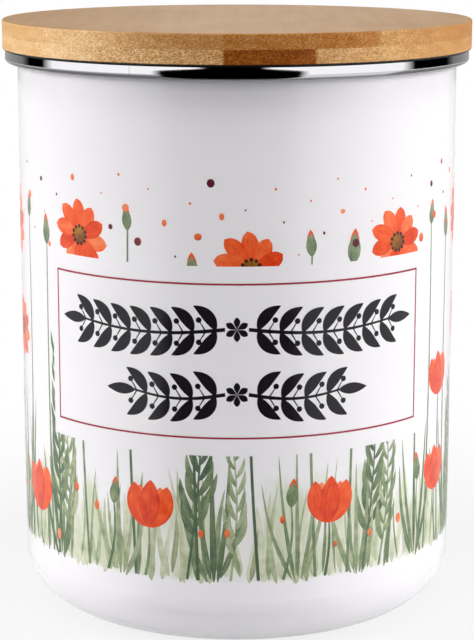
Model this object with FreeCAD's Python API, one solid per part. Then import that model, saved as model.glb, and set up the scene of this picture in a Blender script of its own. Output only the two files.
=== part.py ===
"""Enamel storage canister with a bamboo lid.

A deep-drawn enamelled steel canister stands on a shallow foot ring. Its mouth is turned
out into a flat lip, and a polished steel trim ring is rolled over that lip. The lid is
one turned piece of laminated bamboo board: a disc that lies on the trim ring, and a plug
with a groove that carries a silicone seal.

Millimetres. +Z is up, the origin is the centre of the foot ring, on the surface that the
canister stands on. Every piece is turned about Z.
"""
import FreeCAD, Part
import math
import os

V = FreeCAD.Vector

# ---- driving dimensions -------------------------------------------------------------

# canister body
body_diameter = 120.0         # outside of the straight wall
body_height = 153.0           # standing surface to the top of the lip
wall = 1.0                    # steel with its enamel
base_corner_radius = 14.5     # outside, wall to base
foot_width = 3.0              # flat ring that the canister stands on
base_step_run = 2.0           # sloped step from the foot ring up to the raised base
base_rise = 0.8               # the middle of the base stands this far off the surface
lip_overhang = 2.5            # lip beyond the wall
mouth_bend_radius = 1.5       # inside of the mouth, wall to lip

# trim ring, rolled from strip
ring_sheet = 0.6
ring_height = 3.4
ring_corner_radius = 0.7
ring_lip_gap = 0.25           # around the edge of the lip
ring_mouth_gap = 0.1          # between the ring's skirt and the enamel inside the mouth
ring_wall_gap = 0.3           # between the turned-in edge and the wall under the lip

# lid
lid_thickness = 8.0
lid_overhang = 0.65           # lid beyond the trim ring
lid_edge_round = 0.5
plug_depth = 10.0             # below the disc
plug_gap = 2.0                # between the plug and the trim ring's skirt
plug_edge_round = 1.0
groove_top = 1.4              # below the disc
groove_height = 5.4
groove_depth = 3.0

# silicone seal
seal_band = 1.8               # thickness of the band that lies in the groove
seal_play = 0.2               # free height in the groove
seal_seat_gap = 0.05          # between the band and the bottom of the groove
seal_fin_gap = 0.25           # between the fins and the trim ring's skirt
seal_fin_root = 1.3
seal_fin_tip = 0.7

# ---- sizes that follow --------------------------------------------------------------

wall_r = body_diameter / 2
bore_r = wall_r - wall
foot_outer_r = wall_r - base_corner_radius
foot_inner_r = foot_outer_r - foot_width
base_panel_r = foot_inner_r - base_step_run
lip_r = wall_r + lip_overhang

ring_r = lip_r + ring_lip_gap + ring_sheet
ring_top = body_height + ring_sheet
ring_bottom = ring_top - ring_height
ring_mouth_r = bore_r - ring_mouth_gap - ring_sheet

lid_r = ring_r + lid_overhang
lid_bottom = ring_top
lid_top = lid_bottom + lid_thickness
plug_r = ring_mouth_r - plug_gap
plug_bottom = lid_bottom - plug_depth
groove_r = plug_r - groove_depth
groove_ceiling = lid_bottom - groove_top
groove_floor = groove_ceiling - groove_height

seal_inner_r = groove_r + seal_seat_gap
seal_band_r = seal_inner_r + seal_band
seal_r = ring_mouth_r - seal_fin_gap
seal_bottom = groove_floor
seal_top = groove_ceiling - seal_play


def rounded_outline(corners):
    """Closed wire in the XZ plane through (radius, height, rounding) corners."""
    edges = []
    turns = []
    count = len(corners)
    for index, (r, z, rounding) in enumerate(corners):
        corner = V(r, 0, z)
        before = V(corners[index - 1][0], 0, corners[index - 1][1])
        after = V(corners[(index + 1) % count][0], 0, corners[(index + 1) % count][1])
        if rounding == 0:
            turns.append((corner, corner))
            continue
        back = (before - corner).normalize()
        ahead = (after - corner).normalize()
        half_angle = back.getAngle(ahead) / 2
        setback = rounding / math.tan(half_angle)
        middle_way = (back + ahead).normalize()
        centre = corner + middle_way * (rounding / math.sin(half_angle))
        begin = corner + back * setback
        end = corner + ahead * setback
        edges.append(Part.Arc(begin, centre - middle_way * rounding, end).toShape())
        turns.append((begin, end))
    for index in range(count):
        leave = turns[index][1]
        arrive = turns[(index + 1) % count][0]
        edges.append(Part.LineSegment(leave, arrive).toShape())
    return Part.Wire(Part.__sortEdges__(edges))


def turned(corners):
    """Solid turned about Z from one closed outline."""
    return Part.Face(rounded_outline(corners)).revolve(V(0, 0, 0), V(0, 0, 1), 360)


def make_canister_body():
    """Drawn cup: raised base, foot ring, large corner, straight wall, lip turned out."""
    lip_underside = body_height - wall
    return turned([
        (0, base_rise, 0),
        (base_panel_r, base_rise, 0),
        (foot_inner_r, 0, 0),
        (wall_r, 0, base_corner_radius),
        (wall_r, lip_underside, 0),
        (lip_r, lip_underside, 0),
        (lip_r, body_height, 0),
        (bore_r, body_height, mouth_bend_radius),
        (bore_r, wall, base_corner_radius - wall),
        (foot_inner_r, wall, 0),
        (base_panel_r, base_rise + wall, 0),
        (0, base_rise + wall, 0),
    ])


def make_rim_ring():
    """Rolled strip: skirt in the mouth, land on the lip, face, edge turned in under it."""
    inside_mouth_r = ring_mouth_r + ring_sheet
    inside_face_r = ring_r - ring_sheet
    turned_in_r = wall_r + ring_wall_gap
    shelf_top = ring_bottom + ring_sheet
    # The bend's hidden side is one facet, a hair clear of the enamel's own bend.
    facet = (2 - math.sqrt(2)) * mouth_bend_radius
    return turned([
        (ring_mouth_r, ring_bottom, 0),
        (inside_mouth_r, ring_bottom, 0),
        (inside_mouth_r, body_height - facet, 0),
        (inside_mouth_r + facet, body_height, 0),
        (inside_face_r, body_height, 0),
        (inside_face_r, shelf_top, 0),
        (turned_in_r, shelf_top, 0),
        (turned_in_r, ring_bottom, 0),
        (ring_r, ring_bottom, ring_corner_radius),
        (ring_r, ring_top, ring_corner_radius),
        (ring_mouth_r, ring_top, mouth_bend_radius + ring_mouth_gap + ring_sheet),
    ])


def make_bamboo_lid():
    """Disc and plug turned from one laminated board, with the groove for the seal."""
    return turned([
        (0, plug_bottom, 0),
        (plug_r, plug_bottom, plug_edge_round),
        (plug_r, groove_floor, 0),
        (groove_r, groove_floor, 0),
        (groove_r, groove_ceiling, 0),
        (plug_r, groove_ceiling, 0),
        (plug_r, lid_bottom, 0),
        (lid_r, lid_bottom, lid_edge_round),
        (lid_r, lid_top, lid_edge_round),
        (0, lid_top, 0),
    ])


def make_seal_ring():
    """Band in the lid's groove with two tapered fins that wipe the mouth."""
    taper = (seal_fin_root - seal_fin_tip) / 2
    return turned([
        (seal_inner_r, seal_bottom, 0),
        (seal_band_r, seal_bottom, 0),
        (seal_r, seal_bottom + taper, 0),
        (seal_r, seal_bottom + taper + seal_fin_tip, 0),
        (seal_band_r, seal_bottom + seal_fin_root, 0),
        (seal_band_r, seal_top - seal_fin_root, 0),
        (seal_r, seal_top - taper - seal_fin_tip, 0),
        (seal_r, seal_top - taper, 0),
        (seal_band_r, seal_top, 0),
        (seal_inner_r, seal_top, 0),
    ])


pieces = {
    "canister_body": make_canister_body(),
    "rim_ring": make_rim_ring(),
    "bamboo_lid": make_bamboo_lid(),
    "seal_ring": make_seal_ring(),
}

os.makedirs("parts", exist_ok=True)
for name, shape in pieces.items():
    shape.exportStep(f"parts/{name}.step")
    box = shape.optimalBoundingBox(False, False)
    print(f"{name}: {shape.ShapeType}, valid {shape.isValid()}, {shape.Volume / 1000:.2f} cm3, "
          f"radius {box.XMax:.2f}, z {box.ZMin:.2f} to {box.ZMax:.2f}")
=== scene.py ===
"""Looks of an enamel storage canister: white enamel with a printed meadow border, a polished
steel trim ring at the mouth, and a lift-off lid of laminated bamboo with a silicone seal."""
import math
import random

import bmesh
import bpy
from mathutils import Euler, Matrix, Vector


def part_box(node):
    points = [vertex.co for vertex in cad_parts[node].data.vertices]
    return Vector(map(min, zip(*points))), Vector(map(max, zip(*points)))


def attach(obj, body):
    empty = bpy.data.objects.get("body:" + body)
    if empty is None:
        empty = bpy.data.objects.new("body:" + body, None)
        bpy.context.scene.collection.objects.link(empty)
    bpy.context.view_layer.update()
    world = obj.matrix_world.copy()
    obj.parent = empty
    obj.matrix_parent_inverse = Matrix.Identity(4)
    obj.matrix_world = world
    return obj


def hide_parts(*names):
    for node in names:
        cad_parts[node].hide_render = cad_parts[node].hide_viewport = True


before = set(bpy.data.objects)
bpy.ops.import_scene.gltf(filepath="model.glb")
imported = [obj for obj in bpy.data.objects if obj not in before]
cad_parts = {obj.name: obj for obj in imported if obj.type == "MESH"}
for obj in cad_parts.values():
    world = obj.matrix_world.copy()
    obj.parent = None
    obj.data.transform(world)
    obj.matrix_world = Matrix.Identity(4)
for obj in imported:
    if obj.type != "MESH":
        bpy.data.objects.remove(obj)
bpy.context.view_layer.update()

MM = 0.001
NEAR = 0.001 * MM             # points this close are the same point

# ---- sizes taken from the frame, in millimetres -------------------------------------

lid_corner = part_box("bamboo_lid")[1] / MM
ring_low, ring_high = (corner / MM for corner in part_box("rim_ring"))
LID_RADIUS = lid_corner.x
LID_BOTTOM = ring_high.z
LID_TOP = lid_corner.z
PLY_JOINT = (LID_BOTTOM + LID_TOP) / 2

# ---- sizes of the trim ring, in millimetres -----------------------------------------

RING_SHEET = 0.6
RING_MOUTH = 58.3             # inside of the skirt in the mouth
RING_TURNED_IN = 60.3         # edge of the strip under the lip
RING_LOWER = 0.12             # the strip is rolled a little further down than the solid
RING_EDGE = ring_low.z - RING_LOWER
RING_CREASE = ring_low.z + 1.9
RING_LEAN = 0.12              # the face leans in above the crease
WELD_BEARING = -24.9          # degrees from the front, where the strip's ends are joined

# ---- sizes of the print, in millimetres ---------------------------------------------

WALL_RADIUS = 60.0            # outside of the enamelled wall, which carries the print
LABEL_HALF_WIDTH = 56.4       # bare zone for the label, along the wall from its middle
LABEL_LOW = 54.0
LABEL_HIGH = 103.3
OUTLINE_HALF_WIDTH = 53.8
OUTLINE_LOW = 58.7
OUTLINE_HIGH = 98.7
OUTLINE_LINE = 0.5
GROUND = 20.5                 # foot of the meadow
WASH_PITCH = 4                # from one stroke to the next in the wash map
LAUREL_LEAF = 8.6
LAUREL_ROWS = ((87.1, 49.5, 7), (70.2, 33.5, 4))  # height, half width, pairs of leaves

# Distance of each layer of ink from the enamel.
LIFTS = {
    "printed_wash": 0.008,
    "printed_grass_pale": 0.02,
    "printed_label": 0.03,
    "printed_grass": 0.05,
    "printed_leaves": 0.075,
    "printed_flowers": 0.10,
    "printed_seeds": 0.13,
}


def ink(red, green, blue):
    """Linear colour of a shade given as it is seen on a screen, 0 to 255."""
    def linear(level):
        level /= 255
        return level / 12.92 if level <= 0.04045 else ((level + 0.055) / 1.055) ** 2.4
    return (linear(red), linear(green), linear(blue), 1.0)


# ---- finishes -----------------------------------------------------------------------


class Value:
    """A shader socket that takes part in arithmetic."""

    def __init__(self, finish, socket):
        self.finish = finish
        self.socket = socket

    def math(self, operation, *others):
        operands = dict(enumerate((self, *others)))
        return self.finish.node("Math", {"operation": operation}, operands)

    def __add__(self, other):
        return self.math("ADD", other)

    def __sub__(self, other):
        return self.math("SUBTRACT", other)

    def __rsub__(self, other):
        return self * -1 + other

    def __mul__(self, other):
        return self.math("MULTIPLY", other)

    def __gt__(self, other):
        return self.math("GREATER_THAN", other)

    def __lt__(self, other):
        return self.math("LESS_THAN", other)

    def __abs__(self):
        return self.math("ABSOLUTE")

    __radd__ = __add__
    __rmul__ = __mul__


class Finish:
    """A material, or the world's light, whose nodes are being laid."""

    def __init__(self, name, kind="materials"):
        self.result = getattr(bpy.data, kind).new(name)
        self.result.use_nodes = True
        self.tree = self.result.node_tree
        self.tree.nodes.clear()

    def node(self, kind, settings=None, inputs=None, output=0):
        """Adds a node: its settings first, then the values or links of its sockets."""
        node = self.tree.nodes.new("ShaderNode" + kind)
        for name, setting in (settings or {}).items():
            setattr(node, name, setting)
        for name, value in (inputs or {}).items():
            if isinstance(value, Value):
                self.tree.links.new(value.socket, node.inputs[name])
            else:
                node.inputs[name].default_value = value
        return Value(self, node.outputs[output]) if node.outputs else None

    def ramp(self, value, stops):
        """Colour along a ramp of (position, colour) stops."""
        colour = self.node("ValToRGB", inputs={"Fac": value})
        ramp = colour.socket.node.color_ramp
        while len(ramp.elements) < len(stops):
            ramp.elements.new(1.0)
        for element, (position, shade) in zip(ramp.elements, stops):
            element.position = position
            element.color = shade
        return colour

    def place(self):
        """Where a point lies on the object, in millimetres."""
        metres = self.node("TexCoord", output="Object")
        return self.stretch(metres, (1 / MM, 1 / MM, 1 / MM))

    def stretch(self, vector, factors):
        return self.node("VectorMath", {"operation": "MULTIPLY"}, {0: vector, 1: factors})

    def axis(self, vector, name):
        return self.node("SeparateXYZ", inputs={0: vector}, output=name)

    def radius(self, vector):
        """Distance from the canister's axis."""
        level = self.stretch(vector, (1, 1, 0))
        return self.node("VectorMath", {"operation": "LENGTH"}, {0: level}, output="Value")

    def noise(self, vector, scale, detail=2.0, roughness=0.5):
        return self.node("TexNoise", inputs={
            "Vector": vector, "Scale": scale, "Detail": detail, "Roughness": roughness})

    def ease(self, value, low, high, start=0.0, end=1.0):
        """Eases from start to end as value goes from low to high."""
        return self.node("MapRange", {"interpolation_type": "SMOOTHSTEP"}, {
            "Value": value, "From Min": low, "From Max": high, "To Min": start, "To Max": end})

    def mix(self, factor, first, second):
        return self.node("Mix", {"data_type": "RGBA"}, {0: factor, 6: first, 7: second}, output=2)

    def bump(self, height, depth):
        """Normal of a surface whose relief is height, 0 to 1, times depth in millimetres."""
        return self.node("Bump", inputs={"Height": height, "Distance": depth * MM})

    def surface(self, **inputs):
        """Closes the material with a Principled shader."""
        named = {name.replace("_", " ").title().replace("Ior", "IOR"): value
                 for name, value in inputs.items()}
        shader = self.node("BsdfPrincipled", inputs=named, output="BSDF")
        self.node("OutputMaterial", inputs={"Surface": shader})
        return self.result


def enamel_coat(finish):
    """White vitreous enamel: glassy, with the faint waviness of a fired coat."""
    place = finish.place()
    cloud = finish.noise(place, 0.035, detail=3)
    waves = finish.noise(place, 0.16, detail=2)
    return {
        "base_color": finish.mix(cloud, ink(241, 238, 241), ink(247, 245, 247)),
        "roughness": finish.ease(waves, 0.3, 0.7, 0.07, 0.13),
        "ior": 1.5,
        "normal": finish.bump(waves, 0.12),
    }


def enamel():
    finish = Finish("white_enamel")
    return finish.surface(**enamel_coat(finish))


def polished_steel():
    """Polished stainless strip with fine rings left by the polishing wheel, and its weld."""
    finish = Finish("polished_steel")
    place = finish.place()
    x, y, z = (finish.axis(place, name) for name in "XYZ")
    across = finish.node("CombineXYZ", inputs={0: finish.radius(place), 2: z})
    rings = finish.noise(across, 9.0, detail=3)
    smears = finish.noise(place, 0.25, detail=2)

    bearing = math.radians(WELD_BEARING)
    beside_weld = abs(x * math.cos(bearing) + y * math.sin(bearing))
    weld = finish.ease(beside_weld, 0.05, 0.16, 1.0, 0.0) * (y < 0)
    bright = finish.mix(smears, ink(240, 240, 243), ink(247, 247, 249))
    welded = finish.mix(weld * 0.4, bright, ink(120, 118, 116))

    # Painted shade: a grey band is painted along the turned-in lower edge, standing in for the dark
    # reflection there; the band narrows right of the front.
    narrower = finish.ease(x, 0, 10) * finish.ease(x, 36, 44, 1.0, 0.0)
    painted_shade_band = finish.ease(z + narrower * 0.55, RING_EDGE + 0.75, RING_EDGE + 1.4, 1.0, 0.0)
    return finish.surface(
        base_color=finish.mix(painted_shade_band, welded, ink(122, 119, 123)),
        metallic=1.0,
        roughness=finish.ease(rings * 0.7 + smears * 0.3, 0.3, 0.7, 0.02, 0.06),
        normal=finish.bump(rings, 0.001),
    )


# Glued strips of each ply across the lid: millimetres from the middle, and tone from 0 dark
# to 1 pale.
UPPER_STRIPS = ((-64, 0.8), (-52, 0.77), (-48, 0.85), (-36, 0.87), (-24, 0.62), (-4, 0.47), (-3, 0.4),
                (19, 0.37), (20, 0.34), (35, 0.4), (36, 0.62), (50, 0.55), (64, 0.5))
LOWER_STRIPS = ((-64, 0.81), (-46, 0.93), (-28, 0.82), (-3.6, 0.7), (-3.1, 0.09), (19.2, 0.09),
                (19.7, 0.7), (41, 0.7), (42, 0.64), (64, 0.6))


def strip_tone(finish, x, strips):
    """Tone of a ply's strips at x."""
    stops = [((edge + LID_RADIUS) / (2 * LID_RADIUS), (tone, tone, tone, 1.0)) for edge, tone in strips]
    return finish.ramp(x * (0.5 / LID_RADIUS) + 0.5, stops)


def bamboo():
    """Laminated bamboo: two plies of glued strips, with the fibres along Y."""
    finish = Finish("bamboo")
    place = finish.place()
    x, z = (finish.axis(place, name) for name in "XZ")
    normal = finish.node("TexCoord", output="Normal")
    end_grain = abs(finish.axis(normal, "Y"))
    top_face = finish.ease(abs(finish.axis(normal, "Z")), 0.6, 0.9)
    is_upper = finish.ease(z, PLY_JOINT - 0.1, PLY_JOINT + 0.1)
    is_lower = 1 - is_upper
    upper = strip_tone(finish, x, UPPER_STRIPS)
    tone = upper * is_upper + strip_tone(finish, x, LOWER_STRIPS) * is_lower

    # Pores run along Y, wander a little, and show as dots where the fibres end.
    wobble = finish.noise(finish.stretch(place, (0.25, 0.11, 0.6)), 1.0, detail=2)
    section = finish.node("CombineXYZ", inputs={
        0: x * 1.05 + wobble * 3.4, 1: z * 1.65 + wobble * 2.2})
    pores = finish.node("TexVoronoi", {"voronoi_dimensions": "2D"}, {
        "Vector": section, "Scale": 1.0, "Randomness": 0.85})
    pore = finish.ease(pores, 0.06, 0.42, 1.0, 0.0)
    soaked = finish.ease(end_grain, 0.72, 0.92)
    open_pores = 0.2 + is_lower * finish.ease(x, 10, 22, 0.5, 0.15)
    dots = pore * soaked * open_pores * finish.ease(tone, 0.1, 0.75, 0.3, 1.0)

    grit = finish.noise(finish.stretch(place, (1.5, 0.6, 2.2)), 1.0, detail=3, roughness=0.8)
    fibres = finish.noise(finish.stretch(place, (2.6, 0.2, 4.2)), 1.0, detail=4, roughness=0.7)
    bands = finish.noise(finish.stretch(place, (0.3, 0.02, 0.5)), 1.0, detail=2)
    clouds = finish.noise(finish.stretch(place, (0.05, 0.02, 0.05)), 1.0, detail=3)
    gritty = finish.ease(end_grain, 0.4, 0.9, 0.15, 1.3)
    edge_tone = tone + (fibres - 0.5) * 0.6 + (grit - 0.5) * gritty + (bands - 0.5) * 0.3
    edge = finish.ramp(edge_tone, [
        (0.0, ink(118, 54, 0)), (0.1, ink(142, 72, 0)), (0.3, ink(171, 104, 32)),
        (0.62, ink(199, 148, 91)), (0.82, ink(224, 177, 120)), (1.0, ink(243, 208, 160))])
    dotted = finish.mix(dots, edge, ink(128, 72, 16))
    figure = (bands - 0.5) * 0.7 + (fibres - 0.5) * 0.5 + (clouds - 0.5)
    # Painted light: the x * 0.003 term paints the top lighter towards the right.
    top = finish.mix(0.42 + upper * 0.2 + x * 0.003 + figure, ink(169, 128, 88), ink(197, 163, 127))

    # Painted shadow: the lower outside edge is painted near black, standing in for the shadow line between
    # the lid and the trim ring.
    near_edge = finish.radius(place) > LID_RADIUS - 1.4
    painted_gap_shade = finish.ease(z, LID_BOTTOM + 0.3, LID_BOTTOM + 0.48, 1.0, 0.0) * near_edge
    sides = finish.mix(painted_gap_shade, dotted, ink(14, 8, 5))
    return finish.surface(
        base_color=finish.mix(top_face * (1 - painted_gap_shade), sides, top),
        roughness=finish.ease(fibres, 0.3, 0.7, 0.42, 0.58),
        specular_ior_level=0.35,
        normal=finish.bump(fibres * 0.5 - pore * 0.5 * soaked, 0.04),
    )


def silicone():
    """Soft translucent white silicone."""
    finish = Finish("silicone")
    grain = finish.noise(finish.place(), 1.6, detail=3)
    return finish.surface(
        base_color=finish.mix(grain, ink(226, 226, 220), ink(238, 238, 233)),
        roughness=finish.ease(grain, 0.3, 0.7, 0.4, 0.55),
        subsurface_weight=0.25,
        subsurface_scale=0.002,
        normal=finish.bump(grain, 0.02),
    )


def printed(name, *shades):
    """Fired-in printing ink with the pooled, streaky washes of a brush.

    The wash map runs from -1 to 1 across each stroke, in steps of WASH_PITCH from stroke to
    stroke, and from 0 to 1 along it. The tone attribute is the stroke's own shade."""
    finish = Finish(name)
    wash = finish.node("UVMap", {"uv_map": "wash"})
    tone = finish.node("Attribute", {"attribute_name": "tone"}, output="Fac")
    step = finish.axis(wash, "X") * (1 / WASH_PITCH) + 0.5
    across = abs(step.math("FRACT") * WASH_PITCH - WASH_PITCH / 2)
    along = finish.axis(wash, "Y")
    streaks = finish.noise(finish.stretch(wash, (2.2, 1.1, 1.0)), 2.0, detail=4, roughness=0.6)
    pools = finish.noise(finish.place(), 0.36, detail=3)
    rim = finish.ease(across, 0.78, 0.96)
    depth = tone + (streaks - 0.5) * 0.7 + (pools - 0.5) * 0.7 + (along - 0.5) * 0.22 - rim * 0.12
    stops = [(index / (len(shades) - 1), shade) for index, shade in enumerate(shades)]
    return finish.surface(
        base_color=finish.ramp(depth, stops),
        roughness=finish.ease(pools, 0.3, 0.7, 0.14, 0.22),
        ior=1.5,
    )


def wash_ink():
    """Thin green wash in blots, between grass and enamel, which fades out upwards."""
    finish = Finish("wash_ink")
    coat = enamel_coat(finish)
    place = finish.place()
    height = finish.axis(place, "Z")
    blots = finish.noise(finish.stretch(place, (0.09, 0.09, 0.035)), 1.0, detail=3, roughness=0.6)
    grain = finish.noise(finish.stretch(place, (0.7, 0.7, 0.16)), 1.0, detail=3)
    top = GROUND + 6 + blots * 34
    foot = finish.ease(height + grain * 3, GROUND + 0.8, GROUND + 2.4)
    head = finish.ease(top - height + grain * 6, 0.0, 11.0)
    cover = foot * head * finish.ease(blots, 0.4, 0.56, 0.25, 1.0)
    green = finish.mix(grain, ink(198, 206, 176), ink(226, 229, 208))
    coat["base_color"] = finish.mix(cover, coat["base_color"], green)
    return finish.surface(**coat)


finishes = {
    "canister_body": enamel(),
    "rim_ring": polished_steel(),
    "bamboo_lid": bamboo(),
    "seal_ring": silicone(),
}
for node_name, material in finishes.items():
    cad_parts[node_name].material_slots[0].material = material

GREEN = printed("green_ink", ink(84, 106, 84), ink(118, 136, 102), ink(156, 168, 130),
                ink(194, 199, 168), ink(222, 224, 202))
PETAL = printed("petal_ink", ink(196, 40, 18), ink(232, 74, 30), ink(246, 104, 54), ink(250, 148, 100))
HEART = printed("heart_ink", ink(60, 34, 26), ink(132, 78, 30), ink(206, 146, 50))
BERRY = printed("berry_ink", ink(92, 34, 48), ink(150, 52, 52), ink(236, 108, 58), ink(246, 152, 108))
LINE = printed("line_ink", ink(146, 36, 60), ink(176, 60, 78))
BLACK = printed("black_ink", ink(22, 18, 24), ink(34, 29, 36))
WASH = wash_ink()
INKS = (GREEN, PETAL, HEART, BERRY, LINE, BLACK, WASH)

# ---- the trim ring ------------------------------------------------------------------

RING_SECTION = (              # corners of the rolled strip: radius, height, rounding
    (RING_MOUTH, RING_EDGE, 0),
    (RING_MOUTH + RING_SHEET, RING_EDGE, 0),
    (RING_MOUTH + RING_SHEET, ring_high.z - RING_SHEET, 0),
    (ring_high.x - RING_SHEET, ring_high.z - RING_SHEET, 0),
    (ring_high.x - RING_SHEET, RING_EDGE + RING_SHEET, 0),
    (RING_TURNED_IN, RING_EDGE + RING_SHEET, 0),
    (RING_TURNED_IN, RING_EDGE, 0),
    (ring_high.x, RING_EDGE, 1.1),
    (ring_high.x, RING_CREASE, 0.7),
    (ring_high.x - RING_LEAN, ring_high.z, 0.35),
    (RING_MOUTH, ring_high.z, 2.2),
)


def spun_ring():
    """Trim ring spun from its section, with true roundings so that it mirrors cleanly."""
    bm = bmesh.new()
    corners = [bm.verts.new((r * MM, 0, z * MM)) for r, z, rounding in RING_SECTION]
    sides = [bm.edges.new((corners[i - 1], corners[i])) for i in range(len(corners))]
    bmesh.ops.spin(bm, geom=corners + sides, cent=(0, 0, 0), axis=(0, 0, 1),
                   steps=192, angle=math.tau, use_merge=True)
    for r, z, rounding in RING_SECTION:
        if rounding:
            rim = [edge for edge in bm.edges if all(
                abs(vertex.co.xy.length - r * MM) < NEAR and abs(vertex.co.z - z * MM) < NEAR
                for vertex in edge.verts)]
            bmesh.ops.bevel(bm, geom=rim, offset=rounding * MM, affect="EDGES", segments=8,
                            profile=0.5, material=-1)
    bmesh.ops.recalc_face_normals(bm, faces=bm.faces)
    for face in bm.faces:
        face.smooth = True
    for edge in bm.edges:
        edge.smooth = edge.calc_face_angle(0) < math.radians(30)
    mesh = bpy.data.meshes.new("trim_ring")
    bm.to_mesh(mesh)
    bm.free()
    mesh.materials.append(finishes["rim_ring"])
    ring = bpy.data.objects.new("trim_ring", mesh)
    bpy.context.scene.collection.objects.link(ring)
    evened = ring.modifiers.new("even_normals", "WEIGHTED_NORMAL")
    evened.mode = "FACE_AREA"
    evened.keep_sharp = True
    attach(ring, "canister")
    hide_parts("rim_ring")


spun_ring()

# ---- the print ----------------------------------------------------------------------


class PrintLayer:
    """A layer of the print, drawn flat in millimetres: x along the wall, y up, z off the wall."""

    STEP = 0.004                  # from one rank of strokes to the next, off the wall
    RANKS = 6                     # strokes that take the ranks in turn

    def __init__(self, name):
        self.name = name
        self.strokes = 0
        self.bm = bmesh.new()
        self.wash = self.bm.loops.layers.uv.new("wash")
        self.tone = self.bm.verts.layers.float.new("tone")

    def add(self, vertices, paint, tone, rank, shape):
        """Places a new grid's or disc's vertices with shape(side, along), and inks its faces."""
        if rank is None:
            rank = self.strokes % self.RANKS
        for face in {face for vertex in vertices for face in vertex.link_faces}:
            face.material_index = INKS.index(paint)
            face.smooth = True
            for loop in face.loops:
                side, along = loop.vert.co.xy
                loop[self.wash].uv = (side + WASH_PITCH * self.strokes, (along + 1) / 2)
        for vertex in vertices:
            x, y = shape(*vertex.co.xy)
            vertex.co = (x, y, LIFTS[self.name] + self.STEP * rank)
            vertex[self.tone] = tone
        self.strokes += 1

    def stroke(self, spine, half_width, paint, tone=0.5, rank=None, steps=10):
        """Brush stroke along spine(t), half_width(t) to each side, with t from 0 to 1."""
        widest = max(half_width(index / 8) for index in range(9))
        columns = 2 * max(1, math.ceil(widest / 1.2))
        grid = bmesh.ops.create_grid(self.bm, x_segments=columns, y_segments=steps, size=1)

        def shape(side, along):
            t = (along + 1) / 2
            ahead = spine(min(t + 0.02, 1)) - spine(max(t - 0.02, 0))
            across = Vector((ahead.y, -ahead.x)).normalized()
            return spine(t) + across * side * half_width(t)

        self.add(grid["verts"], paint, tone, rank, shape)

    def dot(self, x, y, radius, paint, tone=0.5, rank=None, tall=1.0, segments=14):
        """Round or oval spot of ink."""
        disc = bmesh.ops.create_circle(self.bm, cap_ends=True, cap_tris=True,
                                       segments=segments, radius=1)
        self.add(disc["verts"], paint, tone, rank,
                 lambda side, up: Vector((x + side * radius, y + up * radius * tall)))

    def clear_label(self):
        """Leaves the label's zone bare."""
        cuts = (((-LABEL_HALF_WIDTH, 0, 0), (1, 0, 0)), ((0, LABEL_LOW, 0), (0, 1, 0)),
                ((LABEL_HALF_WIDTH, 0, 0), (1, 0, 0)), ((0, LABEL_HIGH, 0), (0, 1, 0)))
        for point, direction in cuts:
            everything = self.bm.verts[:] + self.bm.edges[:] + self.bm.faces[:]
            bmesh.ops.bisect_plane(self.bm, geom=everything, plane_co=point, plane_no=direction)
        hidden = []
        for face in self.bm.faces:
            middle = face.calc_center_median()
            if abs(middle.x) < LABEL_HALF_WIDTH and LABEL_LOW < middle.y < LABEL_HIGH:
                hidden.append(face)
        bmesh.ops.delete(self.bm, geom=hidden, context="FACES")

    def wrap(self):
        """Closes the strokes' tips, wraps the layer round the wall and lays it on the canister."""
        bmesh.ops.remove_doubles(self.bm, verts=self.bm.verts, dist=0.0005)
        outward = []
        for vertex in self.bm.verts:
            angle = vertex.co.x / WALL_RADIUS
            away = Vector((math.sin(angle), -math.cos(angle), 0))
            radius = WALL_RADIUS + vertex.co.z
            vertex.co = (away * radius + Vector((0, 0, vertex.co.y))) * MM
            outward.append(away)
        mesh = bpy.data.meshes.new(self.name)
        self.bm.to_mesh(mesh)
        self.bm.free()
        for paint in INKS:
            mesh.materials.append(paint)
        mesh.normals_split_custom_set_from_vertices(outward)
        piece = bpy.data.objects.new(self.name, mesh)
        piece.visible_shadow = False
        bpy.context.scene.collection.objects.link(piece)
        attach(piece, "canister")


def line(start, end, sag=0.0):
    """Spine from start to end that bows sideways by sag."""
    start, end = Vector(start), Vector(end)
    across = Vector((end.y - start.y, start.x - end.x)).normalized()
    return lambda t: start.lerp(end, t) + across * sag * math.sin(math.pi * t)


def reach(start, length, degrees, sag=0.0):
    """Spine of a length from start, leaning degrees to the right of upright."""
    angle = math.radians(degrees)
    tip = Vector(start) + Vector((math.sin(angle), math.cos(angle))) * length
    return line(start, tip, sag)


def lens(width, fullest=0.4, bluntness=0.85):
    """Half width of a leaf or petal, fullest at a share of its length."""
    power = math.log(0.5) / math.log(fullest)
    return lambda t: 0.5 * width * max(math.sin(math.pi * t ** power), 0) ** bluntness


def blade(width):
    """Half width of a blade of grass: round at the foot and long to its tip."""
    return lambda t: 0.5 * width * min(1, 0.2 + 6 * t) * (1 - t) ** 0.6


def thread(width):
    """Half width of a stem, which thins as it rises."""
    return lambda t: 0.5 * width * (1 - 0.45 * t)


def arc(degrees):
    """Distance along the wall from the front, for a bearing in degrees, at the most half round."""
    return math.radians((degrees + 180) % 360 - 180) * WALL_RADIUS


def daisy(layer, x, y, radius, turn):
    """Open flower of parted petals about a golden heart."""
    petals = 10
    for index in range(petals):
        length = radius * (1 + 0.08 * math.sin(5 * index + turn))
        tone = 0.5 + 0.24 * math.sin(2.4 * index + turn)
        layer.stroke(reach((x, y), length, turn + 360 * index / petals, 0.4),
                     lens(radius * 0.47, 0.62, 0.6), PETAL, tone, rank=index % 3, steps=12)
    heart = radius * 0.25
    layer.dot(x, y, heart, HEART, 0.55, rank=9)
    stamens = 11
    for index in range(stamens):
        angle = math.tau * index / stamens
        layer.dot(x + heart * math.sin(angle), y + heart * math.cos(angle),
                  radius * 0.055, HEART, 0.05, rank=11, segments=8)


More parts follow.
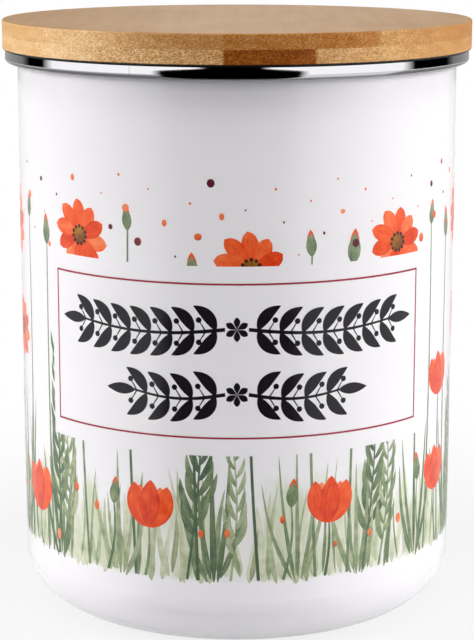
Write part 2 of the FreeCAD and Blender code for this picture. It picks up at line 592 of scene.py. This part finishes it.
def tulip(layer, x, y, tall, lean):
    """Cup of upright petals that stands on (x, y)."""
    petals = ((-15, 0.9, 0.76), (15, 0.9, 0.7), (-24, 0.97, 0.4), (24, 0.97, 0.5), (0, 1.0, 0.3))
    for rank, (spread, share, tone) in enumerate(petals):
        bow = 0.1 * tall * (1 if spread < 0 else -1 if spread > 0 else 0)
        layer.stroke(reach((x, y), tall * share, lean + spread * 0.9, -bow),
                     lens(tall * 0.44, 0.5, 0.7), PETAL, tone, rank=rank, steps=14)


def bud(layer, x, y, tall, lean):
    """Closed bud: a green husk with a tip of petal."""
    layer.stroke(reach((x, y), tall * 1.14, lean), lens(tall * 0.34, 0.6), PETAL, 0.4, rank=0)
    layer.stroke(reach((x, y), tall, lean), lens(tall * 0.46, 0.45), GREEN, 0.3, rank=1, steps=12)


dice = random.Random(23)
BAYS = [index * 40 + dice.uniform(-4, 4) for index in range(9)]  # bearings of the flower groups


def tuft(layer, x, tall, width, tone):
    """Long blades that fan from one foot, about an upright one."""
    upright = -1
    for lean in (-15, 13, -8, 7, upright):
        length = tall if lean == upright else tall * dice.uniform(0.6, 1.0)
        foot = (x + lean * 0.12, GROUND + dice.uniform(-1, 1))
        spine = reach(foot, length, lean * dice.uniform(0.7, 1.2), lean * 0.09)
        layer.stroke(spine, blade(width * dice.uniform(0.7, 1.1)), GREEN,
                     tone + dice.uniform(-0.12, 0.12), steps=18)


def sprig(layer, x, tall, lean, leaf, tone):
    """Upright sprig whose leaves alternate and shorten towards its tip."""
    spine = reach((x, GROUND), tall, lean, 1.2)
    layer.stroke(spine, thread(0.7), GREEN, tone, steps=24)
    count = round(tall / 2.6)
    for index in range(count):
        share = 0.2 + 0.78 * index / (count - 1)
        size = leaf * (1.15 - 0.65 * share) * dice.uniform(0.85, 1.1)
        hand = 1 if index % 2 else -1
        midrib = reach(spine(share), size, lean + hand * dice.uniform(13, 27), hand * 0.08 * size)
        layer.stroke(midrib, lens(size * 0.17), GREEN, tone + dice.uniform(-0.1, 0.16))


def print_wash():
    """Band behind the grass, all round, for the thin green wash."""
    layer = PrintLayer("printed_wash")
    half_round = math.pi * WALL_RADIUS
    middle = GROUND + 14
    half_tall = 15.5
    layer.stroke(line((-half_round, middle), (half_round, middle)), lambda t: half_tall, WASH,
                 rank=0, steps=340)
    layer.wrap()


def print_grass(name, count, tall, width, tones, lean):
    """Blades of grass all round the foot of the meadow."""
    layer = PrintLayer(name)
    for index in range(count):
        x = arc(360 * (index + dice.uniform(-0.4, 0.4)) / count)
        spine = reach((x, GROUND + dice.uniform(-1.3, 1.6)), dice.uniform(*tall),
                      dice.uniform(-lean, lean), dice.uniform(-1.2, 1.2))
        layer.stroke(spine, blade(dice.uniform(*width)), GREEN, dice.uniform(*tones), steps=12)
    layer.clear_label()
    layer.wrap()


def in_the_open(bearing):
    """Whether a bearing is clear of the label."""
    return abs(arc(bearing)) > LABEL_HALF_WIDTH + 4


def meadow():
    """The flowers of each bay: (draw, size, foot, head), foot and head on the flat drawing."""
    for index, bearing in enumerate(BAYS):
        hand = 1 if index % 2 else -1
        low = dice.uniform(31, 43)
        high = dice.uniform(101, 109)
        bay = [(daisy, 9.4, 2 * hand, 0, high), (tulip, 13.5, -hand, 20, low),
               (bud, 8.0, hand, -14, high - 3), (bud, 6.0, 1.5 * hand, 15, high + 4),
               (bud, 7.0, -2 * hand, 10, low + 5)]
        if in_the_open(bearing + 7):
            bay += [(daisy, 8.0, -2 * hand, 5, high - 29), (tulip, 13.0, hand, -18, low + 25)]
        for draw, size, leaning, turn, height in bay:
            x = arc(bearing + turn)
            foot = Vector((x - leaning, GROUND))
            yield draw, size * dice.uniform(0.93, 1.07), foot, Vector((x, height))


FLOWERS = list(meadow())


def print_leaves():
    """Tufts, sprigs and the flowers' stems."""
    layer = PrintLayer("printed_leaves")
    for index, bearing in enumerate(BAYS):
        hand = 1 if index % 2 else -1
        tuft(layer, arc(bearing + 9 * hand), dice.uniform(30, 44), 2.0, 0.2)
        tuft(layer, arc(bearing - 12 * hand), dice.uniform(22, 38), 1.7, 0.45)
        for turn, tall, leaf, tones in ((30, (36, 60), 12, (0.1, 0.3)), (-5, (30, 46), 10, (0.4, 0.6))):
            sprig(layer, arc(bearing + turn), dice.uniform(*tall), dice.uniform(-5, 5), leaf,
                  dice.uniform(*tones))
    for draw, size, foot, head in FLOWERS:
        layer.stroke(line(foot, head, (head - foot).x * 0.6), thread(0.85), GREEN,
                     dice.uniform(0.0, 0.35), steps=30)
    layer.clear_label()
    layer.wrap()


def print_flowers():
    """Flower heads and buds, each on its stem."""
    layer = PrintLayer("printed_flowers")
    for draw, size, foot, head in FLOWERS:
        lower = 0 if draw is daisy else 1.5
        draw(layer, head.x, head.y - lower, size, 3 * (head - foot).x)
    layer.clear_label()
    layer.wrap()


def clear_of_flowers(x, y):
    """Whether a place on the flat drawing lies outside every flower."""
    for draw, size, foot, head in FLOWERS:
        rise = 5 if draw is tulip else 0
        if draw is not bud and (Vector((x, y - rise)) - head).length <= 10:
            return False
    return True


def print_seeds():
    """Seeds that drift above the meadow, between its flowers, and lie in the grass."""
    layer = PrintLayer("printed_seeds")
    drifting = 120
    for index in range(drifting):
        x = arc(360 * (index + dice.uniform(-0.4, 0.4)) / drifting)
        y = 104 + 22 * ((index * 0.618) % 1)
        tone = dice.uniform(0.0, 0.15) if index % 3 == 1 else dice.uniform(0.6, 0.9)
        if clear_of_flowers(x, y):
            layer.dot(x, y, dice.choice((0.25, 0.35, 0.65, 1.0)), BERRY, tone, tall=dice.uniform(0.9, 1.4))
    lying = 40
    for index in range(lying):
        x = arc(360 * (index + dice.uniform(-0.3, 0.3)) / lying)
        y = dice.uniform(25, 44)
        if clear_of_flowers(x, y):
            layer.dot(x, y, dice.uniform(0.5, 0.95), BERRY, dice.uniform(0.6, 0.9), tall=1.6)
    layer.clear_label()
    layer.wrap()


def print_label():
    """Plain outline, with two rows of laurel in black."""
    layer = PrintLayer("printed_label")
    half = OUTLINE_LINE / 2
    corners = ((-OUTLINE_HALF_WIDTH, OUTLINE_LOW), (OUTLINE_HALF_WIDTH, OUTLINE_LOW),
               (OUTLINE_HALF_WIDTH, OUTLINE_HIGH), (-OUTLINE_HALF_WIDTH, OUTLINE_HIGH))
    for index, corner in enumerate(corners):
        following = corners[(index + 1) % 4]
        run = (Vector(following) - Vector(corner)).normalized() * half
        layer.stroke(line(Vector(corner) - run, Vector(following) + run), lambda t: half,
                     LINE, 0.4, steps=100)
    for height, half_width, pairs in LAUREL_ROWS:
        laurel(layer, height, half_width, pairs)
    layer.wrap()


def laurel(layer, y, half_width, pairs):
    """Two laurel sprays that part from a rosette, half_width to each side."""
    for hand in (-1, 1):
        spine = line((hand * 3, y), (hand * (half_width - LAUREL_LEAF * 0.7), y), hand * 1.4)
        layer.stroke(spine, thread(1.0), BLACK, rank=0, steps=40)
        for index in range(pairs):
            share = (index + 0.4) / pairs
            for side in (-1, 1):
                midrib = reach(spine(share), LAUREL_LEAF, hand * (90 - side * 47),
                               -0.12 * LAUREL_LEAF * side * hand)
                layer.stroke(midrib, lens(LAUREL_LEAF * 0.36, 0.45), BLACK, rank=1 + index % 2, steps=14)
                stalk = reach(spine(share + 0.45 / pairs), 3.4, hand * (90 - side * 58))
                layer.stroke(stalk, thread(0.4), BLACK, rank=3)
                layer.dot(*stalk(1), 0.75, BLACK, rank=4)
        layer.stroke(reach(spine(0.98), LAUREL_LEAF, hand * 90), lens(LAUREL_LEAF * 0.34, 0.45),
                     BLACK, rank=3, steps=14)
    for petal in range(6):
        layer.stroke(reach((0, y), 3.2, 60 * petal), lens(1.7, 0.62), BLACK, rank=petal % 2)


print_wash()
print_grass("printed_grass_pale", count=150, tall=(8, 24), width=(1.6, 3.4), tones=(0.78, 1.05), lean=10)
print_grass("printed_grass", count=105, tall=(14, 36), width=(0.7, 2.1), tones=(0.3, 0.85), lean=9)
print_leaves()
print_flowers()
print_seeds()
print_label()

# ---- the standing set ---------------------------------------------------------------

CAMERA_AT = Vector((0, -565.2, 196.1)) * MM
CAMERA_TILT = math.radians(11.9)
CAMERA_LENS = 115.2
CAMERA_SENSOR = 36
FLOOR_RADIUS = 3.0
SHADE_REACH = (0.07, 0.24)    # the floor shows its shadow within these radii, then fades
SHADE_DEPTH = 0.17            # how much of the shadow shows close to the foot
PAPER_END = (0.26, 0.46)      # pale paper gives way to a darker table within these radii
PAPER = (0.6, 0.6, 0.61, 1.0)
TABLE = (0.08, 0.08, 0.08, 1.0)
WHITE = (1.0, 1.0, 1.0, 1.0)
CARD_FADE = 5.0               # degrees over which a card's upright edges fade
BLACK_CARD = (0.0, 0.0)       # shades at a card's two upright edges
GREY_CARD = (0.7, 0.7)
ROOM_LIGHT = 0.03


def place_camera():
    """Camera a little above the lid, looking slightly down at the front."""
    data = bpy.data.cameras.new("camera")
    data.lens = CAMERA_LENS
    data.sensor_width = CAMERA_SENSOR
    camera = bpy.data.objects.new("camera", data)
    camera.location = CAMERA_AT
    camera.rotation_euler = Euler((math.pi / 2 - CAMERA_TILT, 0, 0))
    bpy.context.scene.collection.objects.link(camera)
    bpy.context.scene.camera = camera


def between(start, end, share):
    """Value at a share of the way from start to end."""
    return start + (end - start) * share


def aside(bearing, distance, height):
    """Place at a bearing from the front in degrees, positive to the right."""
    angle = math.radians(bearing)
    return Vector((distance * math.sin(angle), -distance * math.cos(angle), height))


def soft_box(name, place, width, tall, watts, aim=(0, 0, 0.08)):
    """Soft box that faces the canister, or aims elsewhere."""
    data = bpy.data.lights.new(name, "AREA")
    data.shape = "RECTANGLE"
    data.size = width
    data.size_y = tall
    data.energy = watts
    lamp = bpy.data.objects.new(name, data)
    lamp.location = place
    lamp.rotation_euler = (Vector(aim) - place).to_track_quat("-Z", "Y").to_euler()
    lamp.visible_camera = False
    lamp.visible_glossy = False
    bpy.context.scene.collection.objects.link(lamp)


def staged(name, bm, material):
    """Object of the set, which isn't part of the canister."""
    mesh = bpy.data.meshes.new(name)
    bm.to_mesh(mesh)
    bm.free()
    mesh.materials.append(material)
    thing = bpy.data.objects.new(name, mesh)
    bpy.context.scene.collection.objects.link(thing)
    return thing


def card(name, bearings, foot, top, shades, top_bearings=None, fade=CARD_FADE):
    """Card seen only in reflections, with soft upright edges and a shade at each of them.

    Its edges are bearings in degrees, at its foot and, where they differ, at its top. Its foot
    and top are (distance from the axis, height) in metres."""
    top_bearings = top_bearings or bearings
    bm = bmesh.new()
    solid = bm.verts.layers.float.new("solid")
    shade = bm.verts.layers.float.new("shade")
    bmesh.ops.create_grid(bm, x_segments=90, y_segments=1, size=1)
    for vertex in bm.verts:
        across, up = (vertex.co.x + 1) / 2, (vertex.co.y + 1) / 2
        left, right = (between(*ends, up) for ends in zip(bearings, top_bearings))
        bearing = between(left, right, across)
        vertex.co = aside(bearing, *(between(*ends, up) for ends in zip(foot, top)))
        vertex[solid] = min(1, min(bearing - left, right - bearing) / fade)
        vertex[shade] = between(*shades, across)
    finish = Finish(name)
    grey = finish.node("Attribute", {"attribute_name": "shade"}, output="Color")
    paper = finish.node("Emission", inputs={"Color": grey})
    cover = finish.node("Attribute", {"attribute_name": "solid"}, output="Fac")
    clear = finish.node("BsdfTransparent")
    shader = finish.node("MixShader", inputs={0: cover, 1: clear, 2: paper})
    finish.node("OutputMaterial", inputs={"Surface": shader})
    hung = staged(name, bm, finish.result)
    hung.visible_camera = False
    hung.visible_diffuse = False
    hung.visible_transmission = False
    hung.visible_shadow = False


def seen_white(finish, shader, share):
    """White where share is 1 to whoever looks at it, straight or in a reflection."""
    straight, mirrored, through = (
        finish.node("LightPath", output=path)
        for path in ("Is Camera Ray", "Is Glossy Ray", "Is Transmission Ray"))
    looked_at = (straight + mirrored + through).math("MINIMUM", 1.0)
    white = finish.node("Emission", inputs={"Color": WHITE, "Strength": 1.0})
    return finish.node("MixShader", inputs={0: looked_at * share, 1: shader, 2: white})


def lay_floor():
    """Pale floor that keeps the soft shadow round the canister's foot."""
    bm = bmesh.new()
    bmesh.ops.create_circle(bm, cap_ends=True, segments=96, radius=FLOOR_RADIUS)
    finish = Finish("floor")
    away = finish.radius(finish.node("TexCoord", output="Object"))
    paper = finish.node("BsdfDiffuse", inputs={"Color": PAPER})
    table = finish.node("BsdfDiffuse", inputs={"Color": TABLE})
    matt = finish.node("MixShader", inputs={0: finish.ease(away, *PAPER_END), 1: paper, 2: table})
    shader = seen_white(finish, matt, finish.ease(away, *SHADE_REACH, 1 - SHADE_DEPTH, 1.0))
    finish.node("OutputMaterial", inputs={"Surface": shader})
    staged("floor", bm, finish.result)


def light_world():
    """Soft even room light, with a white background to look at."""
    finish = Finish("studio", "worlds")
    room = finish.node("Background", inputs={"Color": WHITE, "Strength": ROOM_LIGHT})
    finish.node("OutputWorld", inputs={"Surface": seen_white(finish, room, 1.0)})
    bpy.context.scene.world = finish.result


place_camera()
soft_box("soft_box_left", aside(-82, 0.97, 0.42), width=0.9, tall=0.5, watts=10.7)
soft_box("soft_box_right", aside(76, 0.97, 0.42), width=0.86, tall=0.6, watts=10.9)
soft_box("soft_box_back", aside(180, 1.0, 0.40), width=1.2, tall=0.9, watts=3.6)
soft_box("soft_box_top", aside(0, 0.42, 1.25), width=1.0, tall=0.35, watts=7.2, aim=(0, -0.06, 0.1))

# The dark front of the room, which the trim ring mirrors: it narrows as it rises.
card("card_front", (-40.5, 34), (1.1, 0), (1.1, 0.15), BLACK_CARD)
card("card_front_mid", (-40.5, 34), (1.1, 0.15), (1.1, 0.24), BLACK_CARD, top_bearings=(-19, 16))
card("card_front_high", (-19, 16), (1.1, 0.24), (1.1, 0.84), BLACK_CARD)

# The floor round the foot, as the trim ring's lower edge mirrors it.
card("card_floor", (-39.5, 33.5), (0.066, 0.001), (1.1, 0.001), BLACK_CARD)
card("card_floor_left", (-105, -35), (0.066, 0.002), (1.566, 0.002), GREY_CARD)
card("card_floor_right", (29, 93), (0.066, 0.002), (1.566, 0.002), GREY_CARD)
card("card_floor_back", (90, 270), (0.066, 0.002), (1.566, 0.002), GREY_CARD)

# Dark stands beside the canister, the dim room behind it, and the dark above it.
card("card_left", (-126, -97), (0.85, 0.064), (0.85, 0.664), BLACK_CARD, fade=8)
card("card_right", (84, 128), (0.85, 0.064), (0.85, 0.664), BLACK_CARD, fade=8)
card("card_far_left", (-180, -104), (0.86, 0.067), (0.86, 0.267), (0.5, 0.06))
card("card_far_right", (106, 180), (0.86, 0.067), (0.86, 0.267), (0.05, 0.5))
card("card_above", (-175, 175), (0.87, 0.27), (0.47, 1.03), BLACK_CARD)
lay_floor()
light_world()
bpy.context.scene.view_settings.view_transform = "Standard"
